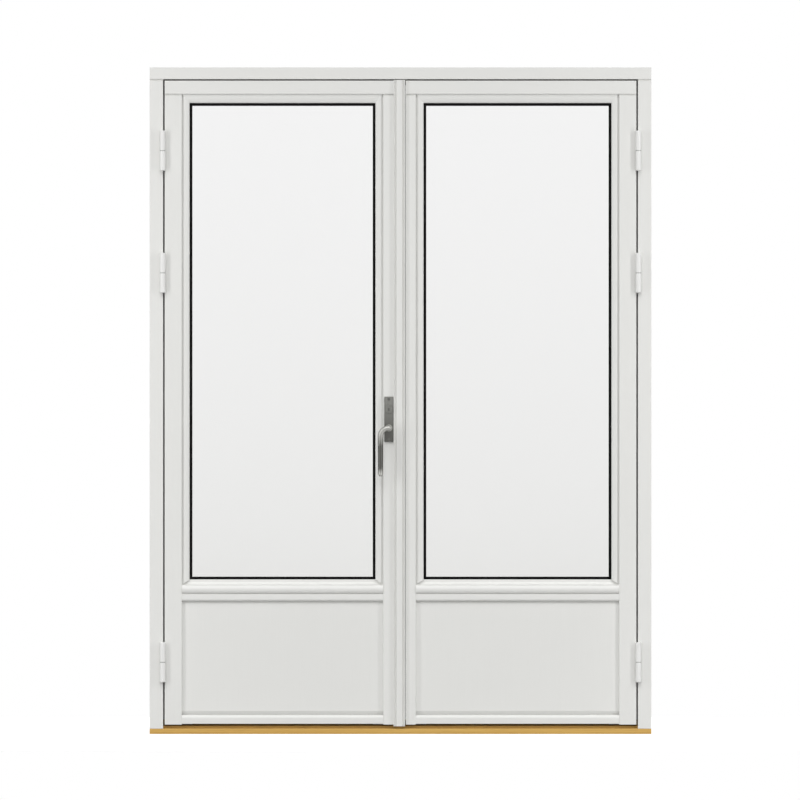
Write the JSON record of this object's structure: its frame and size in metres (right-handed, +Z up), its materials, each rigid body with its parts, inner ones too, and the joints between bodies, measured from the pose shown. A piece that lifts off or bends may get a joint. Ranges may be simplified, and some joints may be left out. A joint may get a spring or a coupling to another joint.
{
  "type": "french doors",
  "caption": "French doors in a painted timber frame on an oak threshold: glazed leaves over flat panels swing outward on lift-off hinges, with a cover strip and a lever that throws bolts.",
  "frame": {"origin": "middle of the underside of the threshold, at half the depth of the frame", "axes": "+Z up, +X to the right seen from outside, +Y into the building; the leaves swing out towards -Y"},
  "size_m": [1.49, 0.169, 1.98],
  "materials": {
    "white_paint": "white paint on timber",
    "oak": "oiled",
    "beech": "raw",
    "glass": "clear",
    "black_rubber": "matt",
    "block_plastic": "matt",
    "spacer_aluminium": "satin",
    "white_metal": "white enamel",
    "satin_steel": "satin brushed",
    "zinc_steel": "zinc plated"
  },
  "bodies": {
    "frame": {"frame_head": "white_paint", "left_jamb": "white_paint", "right_jamb": "white_paint", "threshold": "oak", "frame_seal": "black_rubber", "frame_screws": "zinc_steel", "head_strikes": "zinc_steel", "threshold_strikes": "zinc_steel", "hinge_frame_halves": "white_metal", "hinge_pins": "zinc_steel", "hinge_washers": "zinc_steel", "hinge_frame_screws": "zinc_steel"},
    "left_leaf": {"left_hinge_stile": "white_paint", "left_meeting_stile": "white_paint", "left_top_rail": "white_paint", "left_mid_rail": "white_paint", "left_bottom_rail": "white_paint", "left_dowels": "beech", "left_panel": "white_paint", "left_panes": "glass", "left_spacer": "spacer_aluminium", "left_gaskets": "black_rubber", "left_top_bead": "white_paint", "left_side_beads": "white_paint", "left_sill_bead": "white_paint", "left_setting_blocks": "block_plastic", "left_hinge_halves": "white_metal", "left_hinge_screws": "zinc_steel", "cover_strip": "white_paint", "meeting_seal": "black_rubber", "lock_case": "zinc_steel", "outer_plate": "satin_steel", "inner_plate": "satin_steel", "plate_screws": "satin_steel", "lock_cylinder": "satin_steel"},
    "right_leaf": {"right_hinge_stile": "white_paint", "right_meeting_stile": "white_paint", "right_top_rail": "white_paint", "right_mid_rail": "white_paint", "right_bottom_rail": "white_paint", "right_dowels": "beech", "right_panel": "white_paint", "right_panes": "glass", "right_spacer": "spacer_aluminium", "right_gaskets": "black_rubber", "right_top_bead": "white_paint", "right_side_beads": "white_paint", "right_sill_bead": "white_paint", "right_setting_blocks": "block_plastic", "right_hinge_halves": "white_metal", "right_hinge_screws": "zinc_steel"},
    "handle": {"outer_lever": "satin_steel", "inner_lever": "satin_steel", "spindle": "zinc_steel", "lock_pinion": "zinc_steel"},
    "upper_rod": {"upper_rod": "zinc_steel"},
    "lower_rod": {"lower_rod": "zinc_steel"},
    "thumb_turn": {"thumb_turn": "satin_steel"},
    "upper_flush_bolt": {"upper_flush_bolt": "zinc_steel"},
    "lower_flush_bolt": {"lower_flush_bolt": "zinc_steel"}
  },
  "joints": [
    {"name": "left_leaf_swing", "type": "hinge", "parent": "frame", "child": "left_leaf", "pos_m": [-0.7065, -0.0675, 0], "axis": [0, 0, -1], "range_deg": [0, 160]},
    {"name": "right_leaf_swing", "type": "hinge", "parent": "frame", "child": "right_leaf", "pos_m": [0.7065, -0.0675, 0], "axis": [0, 0, 1], "range_deg": [0, 160]},
    {"name": "handle_turn", "type": "hinge", "parent": "left_leaf", "child": "handle", "pos_m": [-0.0345, -0.0275, 0.909], "axis": [0, 1, 0], "range_deg": [0, 90]},
    {"name": "upper_rod_slide", "type": "slide", "parent": "left_leaf", "child": "upper_rod", "axis": [0, 0, 1], "range_m": [0, 0.0126]},
    {"name": "lower_rod_slide", "type": "slide", "parent": "left_leaf", "child": "lower_rod", "axis": [0, 0, -1], "range_m": [0, 0.0126]},
    {"name": "thumb_turn_turn", "type": "hinge", "parent": "left_leaf", "child": "thumb_turn", "pos_m": [-0.0345, 0, 0.964], "axis": [0, 1, 0], "range_deg": [0, 90]},
    {"name": "upper_flush_slide", "type": "slide", "parent": "right_leaf", "child": "upper_flush_bolt", "axis": [0, 0, 1], "range_m": [0, 0.018]},
    {"name": "lower_flush_slide", "type": "slide", "parent": "right_leaf", "child": "lower_flush_bolt", "axis": [0, 0, -1], "range_m": [0, 0.018]}
  ],
  "couplings": [
    {"joint": "upper_rod_slide", "follows": "handle_turn", "m_per_rad": 0.008},
    {"joint": "lower_rod_slide", "follows": "handle_turn", "m_per_rad": 0.008}
  ]
}
